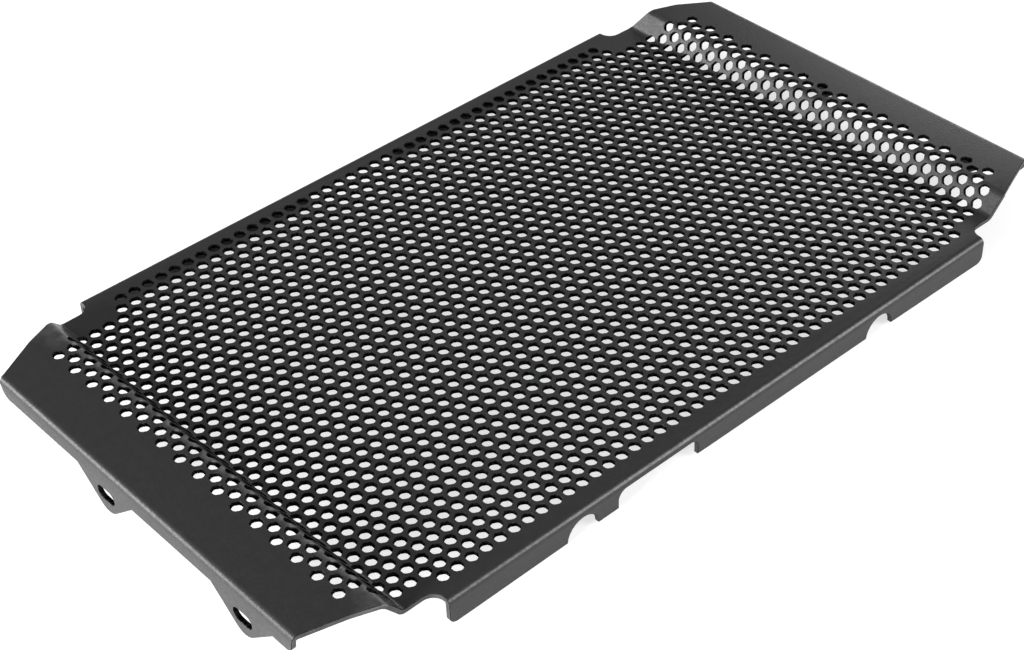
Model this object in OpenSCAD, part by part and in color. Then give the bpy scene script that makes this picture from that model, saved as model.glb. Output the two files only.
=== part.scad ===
// Perforated radiator guard, folded from one piece of sheet: a flat main panel, two raised ends
// with fixing lugs, and a lip down each long side. X runs along it, Z is up and z = 0 is the
// surface that its lips and lugs stand on.

/* [Sheet] */
// Thickness of the sheet
sheet_t = 1.8; // [1.6:0.1:2]
// Inside radius of the folded lips
lip_bend_r = 0.7; // [0.5:0.1:1.1]
// Inside radius of the bends on each side of a riser
step_bend_r = 2.1; // [1.7:0.1:2.5]

/* [Main panel] */
// Length of the main panel between the lower folds of its risers
panel_l = 289.2; // [287:0.2:292]
// Width over the two side lips
panel_w = 206.4; // [204:0.2:212]
// Width of the main panel beyond the side lips
end_w = 192; // [190:0.5:195]
// Length of each side lip
lip_l = 263.6; // [260:0.2:268]
// Depth of each side lip below the main panel's face
lip_depth = 10.9; // [10:0.1:13]
// Depth by which the main panel's middle lies below its edges
dish_depth = 1.2; // [0.6:0.1:1.6]
// Radius at the lower corners of the side lips
lip_corner_r = 3; // [2:0.5:4]

/* [Raised ends] */
// Height of the raised ends above the main panel
rise = 8.3; // [7.5:0.1:9.5]
// Slope of the risers
riser_angle = 52; // [48:1:58]
// Width of the left raised end, from its riser's top to its outer face
left_strip = 29.2; // [26:0.1:34]
// Width of the right raised end, from its riser's top to its outer face
right_strip = 25.2; // [24:0.1:31]
// Distance from a riser's top to the kink in its end's side edges
kink_offset = 10.9; // [8:0.1:14]
// Distance of the near edge from the middle line at the riser's top
near_top = 96.4; // [94:0.1:97]
// Distance of the near edge from the middle line at the kink
near_kink = 92.4; // [90:0.1:94]
// Distance of the near edge from the middle line at the outer face
near_tip = 87.5; // [85:0.1:89.5]
// Distance of the far edge from the middle line at the riser's top
far_top = 90.6; // [89:0.1:93]
// Distance of the far edge from the middle line at the kink
far_kink = 86.2; // [84:0.1:88.5]
// Distance of the far edge from the middle line at the outer face
far_tip = 76; // [74:0.1:82]
// Depth of the end lip below the raised end's face
end_lip_depth = 7.3; // [6.5:0.1:8]
// Radius at the end lip's near lower corner
end_corner_near = 3; // [2:0.5:4]
// Radius at the end lip's far lower corner
end_corner_far = 4.5; // [3:0.5:4.5]

/* [Fixing lugs] */
// Distance of the inner lugs from the middle line, towards the far side
lug_inner_y = 13.6; // [8:0.1:18]
// Distance of the outer lugs from the middle line, towards the near side
lug_outer_y = 61.6; // [56:0.1:64]
// Radius of a lug's tip
lug_tip_r = 6; // [5:0.5:7]
// Slope of a lug's sides
lug_angle = 41; // [38:1:48]
// Width of a lug's slot
slot_w = 5.2; // [4.5:0.1:6]
// Length of a lug's slot over its round ends
slot_l = 9.6; // [8:0.1:11]
// Height of the slots above the surface that the guard stands on
slot_z = 7.4; // [6.8:0.1:7.8]

/* [Lip cut-outs] */
// Height of the cut-outs
cut_h = 6.9; // [5.5:0.1:7.2]
// Distance from the middle to the left half-round cut-out
round_cut_left = 74.7; // [72:0.1:80]
// Distance from the middle to the right half-round cut-out
round_cut_right = 72.4; // [40:0.1:90]
// Place of the middle of the long cut-out in the near lip
near_cut_x = -40; // [-46:0.1:-34]
// Length of the long cut-out in the near lip
near_cut_l = 37.2; // [20:0.1:40]
// Place of the middle of the long cut-out in the far lip
far_cut_x = -6; // [-60:0.1:60]
// Length of the long cut-out in the far lip
far_cut_l = 41; // [20:0.1:60]
// Radius in the upper corners of the long cut-outs
cut_corner_r = 3.5; // [2:0.5:4.5]

/* [Perforation] */
// Distance between holes along a row
pitch = 6; // [6:0.1:8]
// Diameter of a hole, which opens as much as a hexagon of 4.2 mm across its flats
hole_d = 4.4; // [3.8:0.1:4.6]
// Plain metal kept between the outer rows of the main panel and its side edges
row_margin = 4; // [3:0.5:8]
// Plain metal kept along the near edge beyond the side lip
near_margin = 5; // [3:0.5:8]
// Plain metal kept along the far edge beyond the side lip
far_margin = 7.5; // [3:0.5:9]
// Length of the sheet that is perforated each way from the middle, before folding
field_l = 164.5; // [158:0.5:166]

/* [Hidden] */
$fn = 24;
bend_steps = 5;

lip_outer_r = lip_bend_r + sheet_t;
step_mid_r = step_bend_r + sheet_t / 2;
panel_top = lip_depth;
panel_bottom = panel_top - sheet_t;
end_top = panel_top + rise;
end_lip_z = end_top - end_lip_depth;
half_w = panel_w / 2;
half_end_w = end_w / 2;

// The ends reach unequally far from the main panel's middle, so the panel is moved by half of the
// difference and x = 0 is midway between the ends' outer faces
centre_x = (left_strip - right_strip) / 2;

lip_start = half_w - lip_outer_r;

// The riser's corners, bends and flat stretch, measured on the sheet's middle layer
fold_x = panel_l / 2;
top_fold_x = fold_x + rise / tan(riser_angle);
bend_back = step_mid_r * tan(riser_angle / 2);
bend_arc = step_mid_r * riser_angle * PI / 180;
riser_flat = rise / sin(riser_angle) - 2 * bend_back;
low_bend_x = fold_x - bend_back;
high_bend_x = top_fold_x + bend_back;
split_x = round(low_bend_x - 2.5);
left_reach = top_fold_x + left_strip;
right_reach = top_fold_x + right_strip;
kink_x = top_fold_x + kink_offset;
hole_cut = 4 * sheet_t;

// Hole rows run along X and are counted from the middle, near rows negative
hole_r = hole_d / 2;
row_step = pitch * sqrt(3) / 2;
rows = floor((half_w - row_margin - hole_r) / row_step);
columns = floor(2 * (field_l - hole_r) / pitch);

// Even rows have a hole on the middle line, odd rows one on each side of it
function has_hole(k, r) = (k + r) % 2 == 0;

// Place and slope of a point of the unfolded sheet: x, height above the main panel, angle
function folded(s) =
    let (
        riser_start = low_bend_x + bend_arc,
        riser_end = riser_start + riser_flat,
        top_start = riser_end + bend_arc,
        turn = 180 / PI / step_mid_r
    )
    s <= low_bend_x ? [s, 0, 0] :
    s <= riser_start ? let (a = (s - low_bend_x) * turn)
        [low_bend_x + step_mid_r * sin(a), step_mid_r * (1 - cos(a)), a] :
    s <= riser_end ? let (d = s - riser_start)
        [low_bend_x + step_mid_r * sin(riser_angle) + d * cos(riser_angle),
         step_mid_r * (1 - cos(riser_angle)) + d * sin(riser_angle), riser_angle] :
    s <= top_start ? let (a = (top_start - s) * turn)
        [high_bend_x - step_mid_r * sin(a), rise - step_mid_r * (1 - cos(a)), a] :
    [high_bend_x + s - top_start, rise, 0];

// Points on an arc about c from angle a0 to a1
function arc(c, r, a0, a1) =
    [for (i = [0:bend_steps]) let (a = a0 + (a1 - a0) * i / bend_steps) c + r * [cos(a), sin(a)]];

// Profile of the ground under the dish: full height at both edges, and lower towards the middle,
// first steeply and then gently
function dish_side(half, z) =
    [[half, 0], [half, z], [half * 0.67, z - dish_depth * 0.6], [half * 0.33, z - dish_depth]];
function dish_profile(half, z) =
    let (side = dish_side(half, z))
    concat(side, [for (i = [len(side) - 1:-1:0]) [-side[i][0], side[i][1]]]);

// All that lies below the dish's surface, whose edges are at height z
module below_dish(z) {
    translate([0, lip_start, 0])
        rotate([90, 0, 0])
            linear_extrude(2 * lip_start)
                polygon(dish_profile(split_x, z));
    rotate([90, 0, 90])
        translate([0, 0, -split_x])
            linear_extrude(2 * split_x)
                polygon(dish_profile(lip_start, z));
}

// Outline of the main panel: beyond the side lips it steps in, with a round relief in each corner
module panel_outline() {
    relief_r = lip_start - half_end_w;
    difference() {
        square([2 * split_x, 2 * lip_start], center = true);
        for (end = [-1, 1], side = [-1, 1]) {
            translate([end * (lip_l / 2 + relief_r), side * lip_start])
                circle(r = relief_r);
            translate([end * (lip_l / 2 + relief_r + split_x), side * (half_end_w + relief_r)])
                square([2 * split_x, 2 * relief_r], center = true);
        }
    }
}

module main_panel() {
    intersection() {
        difference() {
            below_dish(panel_top);
            below_dish(panel_bottom);
        }
        linear_extrude(2 * panel_top)
            panel_outline();
    }
}

// Section of a side lip in Y and Z: the bend and the flat below it
module lip_section() {
    centre = [lip_start, panel_bottom - lip_bend_r];
    polygon(concat(
        arc(centre, lip_outer_r, 90, 0),
        [[half_w, 0], [half_w - sheet_t, 0]],
        arc(centre, lip_bend_r, 0, 90)
    ));
}

// A lower corner is cut off outside a quarter circle
module corner_cut(r) {
    difference() {
        translate([-1, -1])
            square(r + 1);
        translate([r, r])
            circle(r = r);
    }
}

module side_lip() {
    difference() {
        rotate([90, 0, 90])
            translate([0, 0, -lip_l / 2])
                linear_extrude(lip_l)
                    lip_section();
        translate([0, half_w + 1, 0])
            rotate([90, 0, 0])
                linear_extrude(sheet_t + 2)
                    for (side = [0, 1])
                        mirror([side, 0])
                            translate([-lip_l / 2, 0])
                                corner_cut(lip_corner_r);
        children();
    }
}

// A cut through the near or far lip, drawn in X and Z
module through_lip() {
    translate([0, half_w + 1, 0])
        rotate([90, 0, 0])
            linear_extrude(sheet_t + 2)
                children();
}

module long_cut(x, length) {
    translate([x - length / 2, -1])
        square([length, cut_h - cut_corner_r + 1]);
    translate([x - length / 2 + cut_corner_r, -1])
        square([length - 2 * cut_corner_r, cut_h + 1]);
    for (side = [-1, 1])
        translate([x + side * (length / 2 - cut_corner_r), cut_h - cut_corner_r])
            circle(r = cut_corner_r);
}

module near_lip() {
    mirror([0, 1, 0])
        side_lip()
            through_lip() {
                long_cut(near_cut_x, near_cut_l);
                translate([-round_cut_left, 0])
                    circle(r = cut_h);
                translate([round_cut_right, 0])
                    circle(r = cut_h);
            }
}

module far_lip() {
    side_lip()
        through_lip()
            long_cut(far_cut_x, far_cut_l);
}

// Section of a raised end in X and Z: riser, raised strip and end lip
module end_section(reach) {
    low_centre = [low_bend_x, panel_top + step_bend_r];
    high_centre = [high_bend_x, end_top - sheet_t - step_bend_r];
    lip_centre = [reach - lip_outer_r, end_top - lip_outer_r];
    step_outer_r = step_bend_r + sheet_t;
    polygon(concat(
        [[split_x, panel_bottom], [split_x, panel_top]],
        arc(low_centre, step_bend_r, -90, riser_angle - 90),
        arc(high_centre, step_outer_r, riser_angle + 90, 90),
        arc(lip_centre, lip_outer_r, 90, 0),
        [[reach, end_lip_z], [reach - sheet_t, end_lip_z]],
        arc(lip_centre, lip_bend_r, 0, 90),
        arc(high_centre, step_bend_r, 90, riser_angle + 90),
        arc(low_centre, step_outer_r, riser_angle - 90, -90)
    ));
}

// Outline of a raised end seen from above, as pairs of a length and an edge
function near_edges(reach) =
    [[0, half_end_w], [fold_x, half_end_w], [top_fold_x, near_top], [kink_x, near_kink], [reach, near_tip]];
function far_edges(reach) =
    [[0, half_end_w], [fold_x, half_end_w], [top_fold_x, far_top], [kink_x, far_kink], [reach, far_tip]];

// How far from the middle line a hole's middle may lie at x
function hole_limit(x, edges, margin) =
    x < lip_l / 2 - hole_r ? half_w - row_margin - hole_r : lookup(x, edges) - margin - hole_r;

module end_plan(reach) {
    near = near_edges(reach);
    far = far_edges(reach);
    polygon(concat(
        [for (p = near) [max(p[0], split_x), -p[1]]],
        [[reach + 1, -near_tip], [reach + 1, far_tip]],
        [for (i = [4:-1:0]) [max(far[i][0], split_x), far[i][1]]]
    ));
}

// Holes of one half, each square to the sheet where it lies
module holes(reach, first_column) {
    for (k = [first_column:columns]) {
        p = folded(k * pitch / 2);
        near_limit = hole_limit(p[0], near_edges(reach), near_margin);
        far_limit = hole_limit(p[0], far_edges(reach), far_margin);
        if (p[0] + hole_r < reach - lip_outer_r)
            for (r = [-rows:rows])
                if (has_hole(k, r) && r * row_step >= -near_limit && r * row_step <= far_limit)
                    translate([p[0], r * row_step, panel_bottom + sheet_t / 2 + p[1]])
                        rotate([0, -p[2], 0])
                            cylinder(h = hole_cut, r = hole_r, center = true);
    }
}

// A fixing lug: a rounded tip that widens upwards to the end lip, with a slot across it
module lug_outline() {
    side = [sin(lug_angle), -cos(lug_angle)] * lug_tip_r + [0, lug_tip_r];
    base = side[0] + (end_lip_z - side[1]) / tan(lug_angle);
    slot_r = slot_w / 2;
    slot_half = slot_l / 2 - slot_r;
    difference() {
        union() {
            translate([0, lug_tip_r])
                circle(r = lug_tip_r);
            polygon([[-side[0], side[1]], [-base, end_lip_z], [base, end_lip_z], side]);
        }
        translate([0, slot_z]) {
            for (end = [-1, 1])
                translate([end * slot_half, 0])
                    circle(r = slot_r);
            translate([-slot_half, -slot_r])
                square([2 * slot_half, slot_w]);
        }
    }
}

module raised_end(reach) {
    difference() {
        intersection() {
            translate([0, end_w, 0])
                rotate([90, 0, 0])
                    linear_extrude(2 * end_w)
                        end_section(reach);
            linear_extrude(2 * end_top)
                end_plan(reach);
        }
        translate([reach - sheet_t - 1, -near_tip, end_lip_z])
            rotate([90, 0, 90])
                linear_extrude(sheet_t + 2)
                    corner_cut(end_corner_near);
        translate([reach - sheet_t - 1, far_tip, end_lip_z])
            rotate([90, 0, 90])
                linear_extrude(sheet_t + 2)
                    mirror([1, 0])
                        corner_cut(end_corner_far);
    }
    for (y = [lug_inner_y, -lug_outer_y])
        translate([reach - sheet_t, y, 0])
            rotate([90, 0, 90])
                linear_extrude(sheet_t)
                    lug_outline();
}

module radiator_guard() {
    color([0.17, 0.17, 0.18])
        translate([centre_x, 0, 0])
            difference() {
                union() {
                    main_panel();
                    near_lip();
                    far_lip();
                    raised_end(right_reach);
                    mirror([1, 0, 0])
                        raised_end(left_reach);
                }
                holes(right_reach, 0);
                mirror([1, 0, 0])
                    holes(left_reach, 1);
            }
}

radiator_guard();
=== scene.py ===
# Motorcycle radiator guard: one perforated sheet, folded and powder coated, on a pale studio floor
import math

import bpy
import numpy as np
from mathutils import Matrix, Vector
from mathutils.geometry import delaunay_2d_cdt


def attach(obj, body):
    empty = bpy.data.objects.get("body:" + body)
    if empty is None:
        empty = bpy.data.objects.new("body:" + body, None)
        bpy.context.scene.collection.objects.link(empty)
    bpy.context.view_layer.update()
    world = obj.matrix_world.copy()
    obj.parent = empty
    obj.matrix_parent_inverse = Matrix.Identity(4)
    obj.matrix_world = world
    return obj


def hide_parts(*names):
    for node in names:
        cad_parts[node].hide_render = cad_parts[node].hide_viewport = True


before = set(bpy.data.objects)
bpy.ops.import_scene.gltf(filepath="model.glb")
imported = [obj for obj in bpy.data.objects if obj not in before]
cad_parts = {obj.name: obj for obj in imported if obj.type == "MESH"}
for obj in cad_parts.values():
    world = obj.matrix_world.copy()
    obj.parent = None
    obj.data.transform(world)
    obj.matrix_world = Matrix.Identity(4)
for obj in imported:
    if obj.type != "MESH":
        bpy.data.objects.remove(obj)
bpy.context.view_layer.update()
mm = 0.001

# Sizes in mm, over the folded sheet's outer faces. The radius of a bend is its inside one.
guard = {
    "thick": 1.8,
    "edgeRound": 0.2,        # width of the soft edge that stamping and coating leave
    "panelLength": 289.2, "panelWidth": 206.4, "endWidth": 192.0,
    "lipLength": 263.6, "lipDepth": 10.9, "lipCorner": 3.0, "lipRadius": 0.7,
    "rise": 8.3, "riserAngle": 52.0, "stepRadius": 2.1,
    "reach": {-1: 180.3, 1: 176.3}, "kinkX": 162.0,
    "nearEdge": (96.4, 92.4, 87.5), "farEdge": (90.6, 86.2, 76.0),
    "endLipDepth": 7.3, "endCorners": (3.0, 4.5),
    "dishMiddle": -0.81, "dishEdge": 1.9,   # the panel sags in its middle and lifts at its long edges
    "settle": (0.4, -0.3),   # the right strip's drop on the middle line, and its change to the far side
    "highlightWidth": 1.3,        # of the painted highlight along the left riser's upper bend
}
lugs = {
    "places": (-61.6, 13.6), "tipRadius": 6.0, "slope": 41.0,
    "slotWidth": 5.2, "slotLength": 9.6, "slotHeight": 7.4,
}
# Cuts in the side lips: a long one has its middle and its length, the round ones have their middles
cuts = {
    "height": 6.9, "corner": 3.5,
    "nearLong": (-40.0, 37.2), "farLong": (-6.0, 41.0), "nearRound": (-74.7, 72.4),
}
# The perforation: columns are half a pitch apart, and rows are counted from the middle line. Each
# step of the field says up to which column it goes, and its lowest and highest row.
perforation = {
    "pitch": 6.0, "flats": 4.2, "cornerCut": 0.45,   # how far along a side the round of a corner reaches
    "field": ((40, -18, 18), (41, -18, 17), (42, -18, 16), (48, -17, 16), (51, -17, 15), (54, -16, 14)),
}
# How finely the sheet is drawn: steps round its curves, lines along its bends and how far these run
# past the blank, and the limits of what counts as a point, a triangle, a sharp edge and a corner
drawing = {
    "cornerSteps": 6, "notchSteps": 12, "slotSteps": 10, "tipPoints": 9, "edgePoints": 24,
    "stepLines": 6, "lipLines": 9, "endOverrun": 4.0, "lipOverrun": 1.0,
    "mergeGap": 1e-5, "leastArea": 1e-7, "sharpAngle": 30.0, "leastCorner": 0.5, "keyStep": 1000,
}

panelTop = guard["lipDepth"]
panelMid = panelTop - guard["thick"] / 2
endTop = panelTop + guard["rise"]
endLipZ = endTop - guard["endLipDepth"]
halfWidth = guard["panelWidth"] / 2
halfEnd = guard["endWidth"] / 2
halfLip = guard["lipLength"] / 2
lipOuter = guard["lipRadius"] + guard["thick"]
lipMiddle = guard["lipRadius"] + guard["thick"] / 2
stepMiddle = guard["stepRadius"] + guard["thick"] / 2
lipStart = halfWidth - lipOuter
foldX = guard["panelLength"] / 2
topFoldX = foldX + guard["rise"] / math.tan(math.radians(guard["riserAngle"]))
centreX = (guard["reach"][-1] - guard["reach"][1]) / 2


def profile(stretches):
    # Stretches of the sheet in order, as a length and the angle in degrees that it turns through.
    # Running sums give where each one starts, its slope there and its place.
    length, turn = np.array(stretches, float).T
    turn = np.radians(turn)
    slope = np.cumsum(turn) - turn
    curve = turn / length
    bent = np.abs(turn) > 0
    safe = np.where(bent, curve, 1.0)
    run = np.where(bent, (np.sin(slope + turn) - np.sin(slope)) / safe, length * np.cos(slope))
    climb = np.where(bent, (np.cos(slope) - np.cos(slope + turn)) / safe, length * np.sin(slope))
    return {
        "start": np.cumsum(length) - length, "end": np.cumsum(length), "slope": slope, "curve": curve,
        "x": np.cumsum(run) - run, "z": np.cumsum(climb) - climb,
    }


def follow(path, s):
    # Place and slope at distance s along the profile: a straight stretch goes on at its slope, and
    # a bent one turns by its curvature times the distance.
    i = np.clip(np.searchsorted(path["start"], s, side="right") - 1, 0, len(path["start"]) - 1)
    d = s - path["start"][i]
    slope, curve = path["slope"][i], path["curve"][i]
    now = slope + curve * d
    bent = np.abs(curve) > 0
    safe = np.where(bent, curve, 1.0)
    x = path["x"][i] + np.where(bent, (np.sin(now) - np.sin(slope)) / safe, d * np.cos(slope))
    z = path["z"][i] + np.where(bent, (np.cos(slope) - np.cos(now)) / safe, d * np.sin(slope))
    return x, z, now


def endProfile(side):
    # Half of the panel, the riser between its two bends, the raised strip, and the end lip with lugs
    angle = math.radians(guard["riserAngle"])
    back = stepMiddle * math.tan(angle / 2)
    return profile([
        (foldX - back, 0),
        (stepMiddle * angle, guard["riserAngle"]),
        (guard["rise"] / math.sin(angle) - 2 * back, 0),
        (stepMiddle * angle, -guard["riserAngle"]),
        (guard["reach"][side] - lipOuter - topFoldX - back, 0),
        (lipMiddle * math.pi / 2, -90),
        (endTop - lipOuter, 0),
    ])


# Where the bends and the raised strip come among the stretches of a profile
lowerBend, upperBend, raisedStrip, endBend = 1, 3, 4, 5
sideBend = 1
ends = {side: endProfile(side) for side in (-1, 1)}
across = profile([(lipStart, 0), (lipMiddle * math.pi / 2, -90), (panelTop - lipOuter, 0)])
flatHalf = across["end"][-1]


def arc(centre, radius, fromDeg, toDeg, steps=drawing["cornerSteps"]):
    # Points at equal angles round a centre
    a = np.radians(np.linspace(fromDeg, toDeg, steps + 1))
    return np.stack([centre[0] + radius * np.cos(a), centre[1] + radius * np.sin(a)], 1)


def roundNotch(x):
    # A half-round cut up from the lip's lower edge
    return arc((x, -flatHalf), cuts["height"], 180, 0, drawing["notchSteps"])


def longNotch(place):
    # A long cut up from the lip's lower edge, with round upper corners
    x, length = place
    inner = length / 2 - cuts["corner"]
    top = cuts["height"] - cuts["corner"] - flatHalf
    return np.concatenate([
        [[x - length / 2, -flatHalf]],
        arc((x - inner, top), cuts["corner"], 180, 90),
        arc((x + inner, top), cuts["corner"], 90, 0),
        [[x + length / 2, -flatHalf]],
    ])


def lipOutline(notches):
    # The flat pattern of a side lip on the near side, from its left relief to its right relief
    corner = guard["lipCorner"]
    relief = lipStart - halfEnd
    low = corner - flatHalf
    return np.concatenate([
        arc((-halfLip - relief, -lipStart), relief, 90, 0),
        arc((-halfLip + corner, low), corner, 180, 270),
        *notches,
        arc((halfLip - corner, low), corner, 270, 360),
        arc((halfLip + relief, -lipStart), relief, 180, 90),
    ])


def endEdge(side, s, edge):
    # Distance of a raised end's edge from the middle line: straight between the riser's two folds,
    # the kink and the outer face
    x = follow(ends[side], s)[0]
    return np.interp(x, [foldX, topFoldX, guard["kinkX"], guard["reach"][side]], [halfEnd, *edge])


def lugOutline(side, y):
    # A lug's sides slope in to its round tip, which stands on the floor
    tip = ends[side]["end"][-1]
    a = np.radians(np.linspace(-lugs["slope"], lugs["slope"], drawing["tipPoints"]))
    r = lugs["tipRadius"]
    rounded = np.stack([tip - r * (1 - np.cos(a)), y + r * np.sin(a)], 1)
    slope = math.radians(lugs["slope"])
    low = r * (1 - math.cos(slope))
    base = r * math.sin(slope) + (endLipZ - low) / math.tan(slope)
    return np.concatenate([[[tip - endLipZ, y - base]], rounded, [[tip - endLipZ, y + base]]])


def endOutline(side):
    # The flat pattern of a raised end from its near relief to its far one
    path = ends[side]
    lip = path["end"][-1] - endLipZ
    near, far = guard["endCorners"]
    nearTip, farTip = guard["nearEdge"][-1], guard["farEdge"][-1]
    first, last = path["start"][lowerBend], path["start"][raisedStrip]
    kink = last + guard["kinkX"] - path["x"][raisedStrip]
    bends = [*path["start"][lowerBend:endBend + 1], path["end"][endBend]]
    stations = np.unique([*bends, kink, *np.linspace(first, last, drawing["edgePoints"])])
    return np.concatenate([
        np.stack([stations, -endEdge(side, stations, guard["nearEdge"])], 1),
        arc((lip - near, near - nearTip), near, 270, 360),
        *[lugOutline(side, y) for y in lugs["places"]],
        arc((lip - far, farTip - far), far, 0, 90),
        np.stack([stations, endEdge(side, stations, guard["farEdge"])], 1)[::-1],
    ])


def slotOutline(side, y):
    # A slot with round ends, lying across the lug
    s = ends[side]["end"][-1] - lugs["slotHeight"]
    r = lugs["slotWidth"] / 2
    half = lugs["slotLength"] / 2 - r
    steps = drawing["slotSteps"]
    farEnd, nearEnd = arc((s, y + half), r, 0, 180, steps), arc((s, y - half), r, 180, 360, steps)
    return np.concatenate([farEnd, nearEnd]) * [side, 1]


def sheetOutline():
    # The whole blank, anticlockwise from the near lip's left relief
    leftRound, rightRound = cuts["nearRound"]
    nearLip = lipOutline([roundNotch(leftRound), longNotch(cuts["nearLong"]), roundNotch(rightRound)])
    farLip = lipOutline([longNotch(cuts["farLong"])]) * [1, -1]
    return np.concatenate([nearLip, endOutline(1), farLip[::-1], endOutline(-1)[::-1] * [-1, 1]])


def holeCentres():
    # Every second crossing of rows and columns, so that each hole has six neighbours
    upTo, lowest, highest = np.array(perforation["field"]).T
    last, reach = upTo[-1], highest.max()
    column, row = np.meshgrid(np.arange(-last, last + 1), np.arange(-reach, reach + 1))
    step = np.searchsorted(upTo, np.abs(column))
    keep = ((column + row) % 2 == 0) & (row >= lowest[step]) & (row <= highest[step])
    pitch = perforation["pitch"]
    return np.stack([column[keep] * pitch / 2, row[keep] * pitch * math.sqrt(3) / 2], 1)


def holeShape():
    # A hexagon with two points in place of each corner, on its two sides
    radius = perforation["flats"] / 2 / math.cos(math.pi / 6)
    a = np.radians(30 + 60 * np.arange(6))
    corner = radius * np.stack([np.cos(a), np.sin(a)], 1)
    share = perforation["cornerCut"] / radius
    before, after = np.roll(corner, 1, 0), np.roll(corner, -1, 0)
    pairs = np.stack([corner + (before - corner) * share, corner + (after - corner) * share], 1)
    return pairs.reshape(-1, 2)


def holeKey(column, row):
    # One number for each crossing of a column and a row, as the step is more than all rows
    return column * drawing["keyStep"] + row


def inHole(points, centres):
    # The nearest row and column give the nearest holes; a point is in one where it is less than half
    # of the flats away along all three directions across the flats
    pitch, half = perforation["pitch"], perforation["flats"] / 2
    rowStep = pitch * math.sqrt(3) / 2
    holes = holeKey(np.round(centres[:, 0] * 2 / pitch), np.round(centres[:, 1] / rowStep))
    found = np.zeros(len(points), bool)
    row0 = np.round(points[:, 1] / rowStep)
    column0 = np.round(points[:, 0] * 2 / pitch)
    ways = np.radians([0, 60, 120])
    for stepRow in (-1, 0, 1):
        for stepColumn in (-1, 0, 1):
            row, column = row0 + stepRow, column0 + stepColumn
            away = points - np.stack([column * pitch / 2, row * rowStep], 1)
            reach = np.abs(away @ np.stack([np.cos(ways), np.sin(ways)]))
            found |= np.isin(holeKey(column, row), holes) & (reach.max(1) < half)
    return found


def inside(points, loop):
    # A point is inside where a line from it crosses the outline an odd number of times
    a, b = loop, np.roll(loop, -1, 0)
    x, y = points[:, :1], points[:, 1:]
    straddles = (a[:, 1] > y) != (b[:, 1] > y)
    rise = np.where(b[:, 1] == a[:, 1], 1.0, b[:, 1] - a[:, 1])
    crossing = a[:, 0] + (y - a[:, 1]) * (b[:, 0] - a[:, 0]) / rise
    return (straddles & (x < crossing)).sum(1) % 2 == 1


def loopEdges(count, first):
    # Each point of a closed outline is joined to the next
    i = np.arange(count)
    return np.stack([first + i, first + (i + 1) % count], 1)


def bendLines():
    # Straight lines over the blank wherever the sheet bends, a few to each bend
    lines = []
    wide = halfEnd + drawing["endOverrun"]
    perStep, perLip = drawing["stepLines"], drawing["lipLines"]
    for side, path in ends.items():
        for i, count in ((lowerBend, perStep), (upperBend, perStep), (endBend, perLip)):
            for s in np.linspace(path["start"][i], path["end"][i], count):
                lines.append([[side * s, -wide], [side * s, wide]])
    half = halfLip + drawing["lipOverrun"]
    for y in np.linspace(across["start"][sideBend], across["end"][sideBend], perLip):
        lines += [[[-half, -y], [half, -y]], [[-half, y], [half, y]]]
    return np.array(lines)


def blankTriangles():
    # The blank with its holes, slots and bend lines, cut into triangles. Triangles outside the
    # outline or in an opening are dropped by where their middles lie.
    outline = sheetOutline()
    slots = [slotOutline(side, y) for side in (-1, 1) for y in lugs["places"]]
    centres = holeCentres()
    shape = holeShape()
    corners = (centres[:, None] + shape).reshape(-1, 2)
    lines = bendLines()
    points, edges, first = [], [], 0
    for loop in [outline, *slots]:
        points.append(loop)
        edges.append(loopEdges(len(loop), first))
        first += len(loop)
    points += [corners, lines.reshape(-1, 2)]
    hexes = first + len(shape) * np.arange(len(centres))[:, None] + np.arange(len(shape))
    edges.append(np.stack([hexes, np.roll(hexes, -1, 1)], -1).reshape(-1, 2))
    first += len(corners)
    edges.append(first + np.arange(2 * len(lines)).reshape(-1, 2))
    allPoints, allEdges = np.concatenate(points).tolist(), np.concatenate(edges).tolist()
    made = delaunay_2d_cdt(allPoints, allEdges, [], 0, drawing["mergeGap"])
    flat = np.array([(v[0], v[1]) for v in made[0]])
    faces = np.array(made[2])
    corner = flat[faces]
    twice = np.cross(corner[:, 1] - corner[:, 0], corner[:, 2] - corner[:, 0])
    faces[twice < 0] = faces[twice < 0][:, ::-1]
    middle = corner.mean(1)
    keep = inside(middle, outline) & (np.abs(twice) > drawing["leastArea"])
    for slot in slots:
        keep &= ~inside(middle, slot)
    keep &= ~inHole(middle, centres)
    used, faces = np.unique(faces[keep], return_inverse=True)
    return flat[used], faces.reshape(-1, 3)


def fold(flat, offset):
    # Folds the blank: the distance from the middle goes along the end profile or the side profile,
    # and the offset goes along the sheet's normal. The dish is added to the height, and the right
    # raised end is let down a little.
    s, t = flat.T
    x, z, slope = np.zeros(len(s)), np.zeros(len(s)), np.zeros(len(s))
    for side, path in ends.items():
        here = s * side >= 0
        px, pz, pa = follow(path, np.abs(s[here]))
        x[here], z[here], slope[here] = side * px, pz, side * pa
    lip = (np.abs(t) > lipStart) & (np.abs(s) < halfLip + lipStart - halfEnd)
    y, drop, tilt = follow(across, np.abs(t))
    y, drop, tilt = np.where(lip, y, np.abs(t)), np.where(lip, drop, 0), np.where(lip, tilt, 0)
    y, tilt = np.sign(t) * y, np.sign(t) * tilt
    normal = np.stack([-np.sin(slope) * np.cos(tilt), -np.sin(tilt), np.cos(slope) * np.cos(tilt)], 1)
    place = np.stack([x, y, panelMid + z + drop], 1) + normal * offset
    u = np.clip(np.abs(x) / foldX, 0, 1)
    v = y / halfEnd
    lift = (1 - u ** 2) * (guard["dishMiddle"] + guard["dishEdge"] * v ** 2)
    raised = np.clip((place[:, 2] - panelTop) / guard["rise"], 0, 1) * (x > 0)
    middle, slant = guard["settle"]
    place[:, 2] += lift - raised * (middle + slant * v)
    place[:, 0] += centreX
    return place * mm


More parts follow.
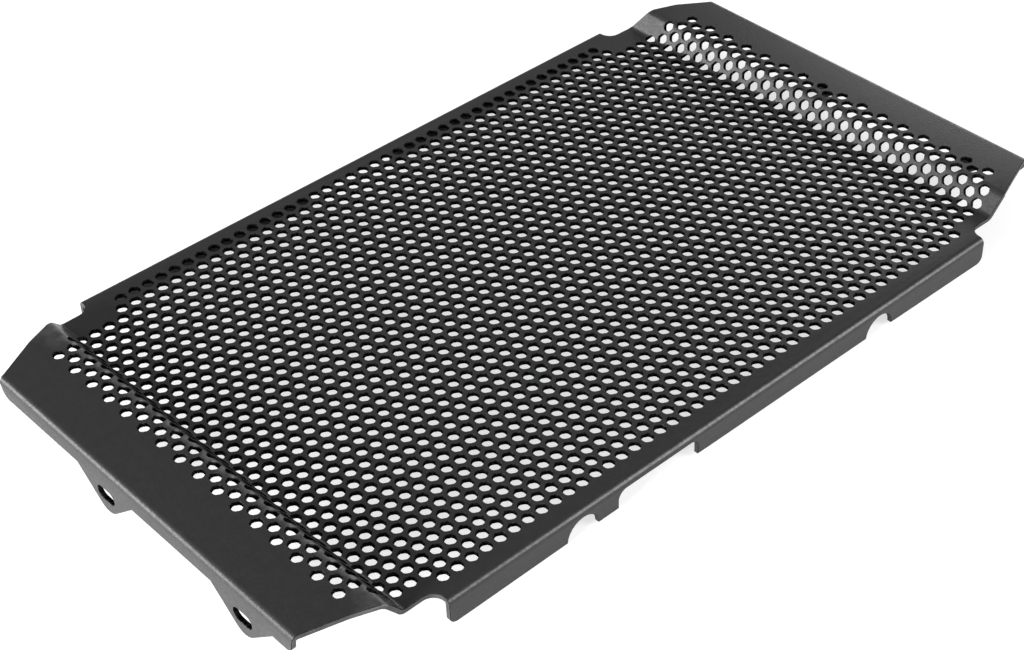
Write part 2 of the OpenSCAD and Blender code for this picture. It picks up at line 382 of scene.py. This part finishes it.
def boundaryOf(faces, count):
    # Edges that only one triangle has, each running with the metal on its left
    edges = np.concatenate([faces[:, [0, 1]], faces[:, [1, 2]], faces[:, [2, 0]]])
    key = np.sort(edges, 1) @ [count, 1]
    _, where, times = np.unique(key, return_index=True, return_counts=True)
    return edges[where[times == 1]]


def outwardOf(flat, a, b):
    # The unit normal of each rim edge, on the side without metal
    along = flat[b] - flat[a]
    along /= np.linalg.norm(along, axis=1)[:, None]
    return np.stack([along[:, 1], -along[:, 0]], 1)


def outlineEdges(flat, a, b):
    # Rim edges of the blank's own outline: a point just outside such an edge is in no hole or slot
    beside = (flat[a] + flat[b]) / 2 + outwardOf(flat, a, b) * guard["edgeRound"]
    opening = inHole(beside, holeCentres())
    for side in (-1, 1):
        for y in lugs["places"]:
            opening |= inside(beside, slotOutline(side, y))
    return ~opening


def outwardStep(flat, rim):
    # At each rim point, the sum of its two edges' outward normals, stretched so that both edges
    # move out by the same distance, up to a limit at narrow corners. Elsewhere it is zero.
    normal = outwardOf(flat, rim[:, 0], rim[:, 1])
    total = np.zeros_like(flat)
    np.add.at(total, rim[:, 0], normal)
    np.add.at(total, rim[:, 1], normal)
    size = (total ** 2).sum(1)
    return total * (2 / np.maximum(size, drawing["leastCorner"]))[:, None]


def paintedBendHighlight(flat):
    # A painted highlight along the outside of the left riser's upper bend, fading to both sides
    path = ends[-1]
    middle = (path["start"][upperBend] + path["end"][upperBend]) / 2
    return np.exp(-((flat[:, 0] + middle) / guard["highlightWidth"]) ** 2)


def buildGuard(materials):
    # Both faces of the folded blank, with a soft upper edge and a wall round every opening
    flat, faces = blankTriangles()
    count = len(flat)
    rim = boundaryOf(faces, count)
    onRim = np.unique(rim)
    half, soft = guard["thick"] / 2, guard["edgeRound"]
    top = fold(flat - outwardStep(flat, rim) * soft, half)
    bottom = fold(flat, -half)
    wallTop = fold(flat[onRim], half - soft)
    topOfWall = np.zeros(count, int)
    topOfWall[onRim] = 2 * count + np.arange(len(onRim))
    a, b = rim.T
    softBand = np.stack([b, a, topOfWall[a], topOfWall[b]], 1)
    wallBand = np.stack([topOfWall[b], topOfWall[a], a + count, b + count], 1)
    bands = np.concatenate([softBand, wallBand])
    polygons = [*faces.tolist(), *(faces[:, ::-1] + count).tolist(), *bands.tolist()]
    mesh = bpy.data.meshes.new("guardSheet")
    mesh.from_pydata(np.concatenate([top, bottom, wallTop]), [], polygons)
    for material in materials:
        mesh.materials.append(material)
    number = {material.name: i for i, material in enumerate(materials)}
    # The soft rims and the walls of holes and slots take painted shade; the outline's walls take the
    # coat
    finish = np.concatenate([
        np.full(2 * len(faces), number["powderCoat"]),
        np.full(len(rim), number["softRimShade"]),
        np.where(outlineEdges(flat, a, b), number["rubbedEdge"], number["holeWallShade"]),
    ])
    mesh.polygons.foreach_set("material_index", finish)
    # A painted highlight along the left riser's upper bend, on the top face and the walls only
    highlightLayer = mesh.attributes.new("paintedBendHighlight", "FLOAT", "POINT")
    highlightAmount = paintedBendHighlight(flat)
    highlightLayer.data.foreach_set("value", np.concatenate([highlightAmount, highlightAmount * 0, highlightAmount[onRim]]))
    mesh.polygons.foreach_set("use_smooth", np.ones(len(polygons), bool))
    mesh.set_sharp_from_angle(angle=math.radians(drawing["sharpAngle"]))
    mesh.validate()
    piece = bpy.data.objects.new("guardSheet", mesh)
    bpy.context.collection.objects.link(piece)
    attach(piece, "root")
    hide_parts("radiator_guard")
    print("guard sheet:", len(holeCentres()), "holes,", len(faces) * 2 + len(rim) * 4, "triangles")


# Finishes. The last rows are ranges of a noise or of the painted bend highlight, some with what they
# become.
coat = {
    # The lightest grey is a painted highlight along the left riser's upper bend
    "colour": (0.013, 0.013, 0.0135), "dust": (0.016, 0.016, 0.016), "paintedHighlight": (0.13, 0.13, 0.13),
    "edge": (0.035, 0.035, 0.035),
    # Painted shade: the near-black of the hole walls and the dark grey of the soft rims, each with a
    # lighter grain
    "wall": (0.0008, 0.0008, 0.0008), "wallLighterShade": (0.010, 0.010, 0.010),
    "rim": (0.008, 0.008, 0.008), "rimLighterShade": (0.030, 0.030, 0.030),
    "roughness": (0.28, 0.42), "wallRoughness": 0.9, "wallSpecular": 0.0,
    "peelScale": 900.0, "peelDetail": 3.0, "peelDepth": 0.00010, "peelStrength": 0.6,
    "blotchScale": 260.0, "blotchDetail": 4.0,
    "highlightBlotches": (0.35, 0.6, 0.3, 1.0), "edgeBlotches": (0.42, 0.6, 0.15, 0.6),
    "dustBlotches": (0.3, 0.7), "peelRange": (0.3, 0.7),
    "wallGrain": (0.4, 0.7), "wallHighlight": (0.45, 1.0),
}
# The colour sockets of a mix node
mixLow, mixHigh, mixResult = 6, 7, 2


def newMaterial(name):
    material = bpy.data.materials.new(name)
    material.use_nodes = True
    return material, material.node_tree.nodes, material.node_tree.links


def makeCoatGrain():
    # Grain shared by the coat and its edges: the orange peel of sprayed powder, and broad blotches
    group = bpy.data.node_groups.new("coatGrain", "ShaderNodeTree")
    group.interface.new_socket("Peel Scale", in_out="INPUT", socket_type="NodeSocketFloat")
    group.interface.new_socket("Blotch Scale", in_out="INPUT", socket_type="NodeSocketFloat")
    group.interface.new_socket("Peel", in_out="OUTPUT", socket_type="NodeSocketFloat")
    group.interface.new_socket("Blotch", in_out="OUTPUT", socket_type="NodeSocketFloat")
    nodes, links = group.nodes, group.links
    source, out = nodes.new("NodeGroupInput"), nodes.new("NodeGroupOutput")
    place = nodes.new("ShaderNodeTexCoord")
    for grain, detail in (("Peel", coat["peelDetail"]), ("Blotch", coat["blotchDetail"])):
        noise = nodes.new("ShaderNodeTexNoise")
        noise.inputs["Detail"].default_value = detail
        links.new(place.outputs["Object"], noise.inputs["Vector"])
        links.new(source.outputs[grain + " Scale"], noise.inputs["Scale"])
        links.new(noise.outputs["Fac"], out.inputs[grain])
    return group


def mixColours(nodes, links, mask, low, high):
    # Each of the two is a colour, or a socket that gives one
    mix = nodes.new("ShaderNodeMix")
    mix.data_type = "RGBA"
    links.new(mask, mix.inputs["Factor"])
    for value, socket in ((low, mix.inputs[mixLow]), (high, mix.inputs[mixHigh])):
        if isinstance(value, tuple):
            socket.default_value = (*value, 1)
        else:
            links.new(value, socket)
    return mix.outputs[mixResult]


def remap(nodes, links, value, low, high, toLow=0.0, toHigh=1.0):
    ramp = nodes.new("ShaderNodeMapRange")
    links.new(value, ramp.inputs["Value"])
    for name, number in (("From Min", low), ("From Max", high), ("To Min", toLow), ("To Max", toHigh)):
        ramp.inputs[name].default_value = number
    return ramp.outputs["Result"]


def highlightMask(nodes):
    highlightLayer = nodes.new("ShaderNodeAttribute")
    highlightLayer.attribute_name = "paintedBendHighlight"
    return highlightLayer.outputs["Fac"]


def makeCoat(grain, name, edge):
    # The coat on the faces, or at a cut edge, where blotches of it are rubbed lighter
    material, nodes, links = newMaterial(name)
    shader = nodes["Principled BSDF"]
    use = nodes.new("ShaderNodeGroup")
    use.node_tree = grain
    use.inputs["Peel Scale"].default_value = coat["peelScale"]
    use.inputs["Blotch Scale"].default_value = coat["blotchScale"]
    peel, blotch = use.outputs["Peel"], use.outputs["Blotch"]
    # Blotches of painted highlight along the left riser's upper bend
    highlightShare = nodes.new("ShaderNodeMath")
    highlightShare.operation = "MULTIPLY"
    links.new(highlightMask(nodes), highlightShare.inputs[0])
    links.new(remap(nodes, links, blotch, *coat["highlightBlotches"]), highlightShare.inputs[1])
    dust = remap(nodes, links, blotch, *coat["dustBlotches"])
    colour = mixColours(nodes, links, dust, coat["colour"], coat["dust"])
    if edge:
        paintedHighlight = remap(nodes, links, blotch, *coat["edgeBlotches"])
        colour = mixColours(nodes, links, paintedHighlight, colour, coat["edge"])
    colour = mixColours(nodes, links, highlightShare.outputs[0], colour, coat["paintedHighlight"])
    links.new(colour, shader.inputs["Base Color"])
    roughness = remap(nodes, links, peel, *coat["peelRange"], *coat["roughness"])
    links.new(roughness, shader.inputs["Roughness"])
    bump = nodes.new("ShaderNodeBump")
    bump.inputs["Strength"].default_value = coat["peelStrength"]
    bump.inputs["Distance"].default_value = coat["peelDepth"]
    links.new(peel, bump.inputs["Height"])
    links.new(bump.outputs["Normal"], shader.inputs["Normal"])
    return material


def makeWall(name, low, high):
    # Inside the holes and on the soft rims the coat is dull, and its near-black colour is painted shade,
    # lightened along the left riser's upper bend by a painted highlight
    material, nodes, links = newMaterial(name)
    shader = nodes["Principled BSDF"]
    noise = nodes.new("ShaderNodeTexNoise")
    noise.inputs["Scale"].default_value = coat["peelScale"]
    place = nodes.new("ShaderNodeTexCoord")
    links.new(place.outputs["Object"], noise.inputs["Vector"])
    grain = remap(nodes, links, noise.outputs["Fac"], *coat["wallGrain"])
    colour = mixColours(nodes, links, grain, low, high)
    highlightAmount = remap(nodes, links, highlightMask(nodes), *coat["wallHighlight"])
    colour = mixColours(nodes, links, highlightAmount, colour, coat["paintedHighlight"])
    links.new(colour, shader.inputs["Base Color"])
    shader.inputs["Roughness"].default_value = coat["wallRoughness"]
    shader.inputs["Specular IOR Level"].default_value = coat["wallSpecular"]
    return material


# Studio. A lamp has its place, the point that it faces, its size and its power.
studio = {
    "floorSize": 6.0, "floorColour": (0.86, 0.86, 0.86), "floorRoughness": 0.9, "floorSpecular": 0.1,
    "floorWhite": 0.45, "floorGlow": 1.50,      # the share of plain white that the camera sees in it
    "worldColour": (0.30, 0.30, 0.305),
    "lamps": (
        ("leftLamp", (-1.4, -0.2, 0.20), (-0.15, 0, 0), 0.42, 70.0),
        ("leftBackLamp", (-1.3, 1.2, 0.60), (-0.1, 0, 0), 0.9, 24.0),
        ("rightFrontLamp", (0.85, -1.2, 0.7), (0.1, -0.1, 0), 0.9, 22.0),
        ("rightBackLamp", (1.6, 0.85, 0.55), (0.15, 0, 0), 0.45, 3.0),
    ),
}
photoView = {
    "place": (-0.39895, -0.44721, 0.47831), "forward": (0.50676338, 0.5832482, -0.63483259),
    "rollDeg": -2.083, "lens": 72.62, "sensorWidth": 36.0, "sideShift": -0.00047, "clip": (0.01, 30.0),
}


def makeFloor():
    # A matt floor. The camera sees it mixed with plain white, which casts no light on the guard.
    mesh = bpy.data.meshes.new("studioFloor")
    h = studio["floorSize"]
    mesh.from_pydata([(-h, -h, 0), (h, -h, 0), (h, h, 0), (-h, h, 0)], [], [(0, 1, 2, 3)])
    material, nodes, links = newMaterial("paleFloor")
    shader = nodes["Principled BSDF"]
    shader.inputs["Base Color"].default_value = (*studio["floorColour"], 1)
    shader.inputs["Roughness"].default_value = studio["floorRoughness"]
    shader.inputs["Specular IOR Level"].default_value = studio["floorSpecular"]
    white = nodes.new("ShaderNodeEmission")
    white.inputs["Strength"].default_value = studio["floorGlow"]
    rays = nodes.new("ShaderNodeLightPath")
    share = nodes.new("ShaderNodeMath")
    share.operation = "MULTIPLY"
    share.inputs[1].default_value = studio["floorWhite"]
    links.new(rays.outputs["Is Camera Ray"], share.inputs[0])
    blend = nodes.new("ShaderNodeMixShader")
    links.new(share.outputs[0], blend.inputs["Fac"])
    links.new(shader.outputs["BSDF"], blend.inputs[1])
    links.new(white.outputs["Emission"], blend.inputs[2])
    links.new(blend.outputs["Shader"], nodes["Material Output"].inputs["Surface"])
    mesh.materials.append(material)
    floor = bpy.data.objects.new("studioFloor", mesh)
    bpy.context.collection.objects.link(floor)


def makeLight():
    world = bpy.data.worlds.new("studioWorld")
    world.use_nodes = True
    world.node_tree.nodes["Background"].inputs["Color"].default_value = (*studio["worldColour"], 1)
    bpy.context.scene.world = world
    for name, place, target, size, power in studio["lamps"]:
        lamp = bpy.data.lights.new(name, "AREA")
        lamp.size, lamp.energy = size, power
        held = bpy.data.objects.new(name, lamp)
        held.location = place
        held.rotation_euler = (Vector(target) - Vector(place)).to_track_quat("-Z", "Y").to_euler()
        held.visible_camera = False
        bpy.context.collection.objects.link(held)


def makeCamera():
    # The photograph's own view: its place, the way it looks and its slight roll
    lens = bpy.data.cameras.new("photoView")
    lens.sensor_fit, lens.sensor_width = "HORIZONTAL", photoView["sensorWidth"]
    lens.lens, lens.shift_x = photoView["lens"], photoView["sideShift"]
    lens.clip_start, lens.clip_end = photoView["clip"]
    camera = bpy.data.objects.new("photoView", lens)
    turn = Vector(photoView["forward"]).to_track_quat("-Z", "Y").to_matrix()
    turn = turn @ Matrix.Rotation(math.radians(photoView["rollDeg"]), 3, "Z")
    camera.matrix_world = Matrix.Translation(photoView["place"]) @ turn.to_4x4()
    bpy.context.collection.objects.link(camera)
    bpy.context.scene.camera = camera


makeCamera()
makeLight()
makeFloor()
print("studio ready")
coatGrain = makeCoatGrain()
buildGuard([
    makeCoat(coatGrain, "powderCoat", False),
    makeCoat(coatGrain, "rubbedEdge", True),
    # The hole walls and soft rims are painted shade
    makeWall("holeWallShade", coat["wall"], coat["wallLighterShade"]),
    makeWall("softRimShade", coat["rim"], coat["rimLighterShade"]),
])
bpy.context.scene.view_settings.view_transform = "Standard"
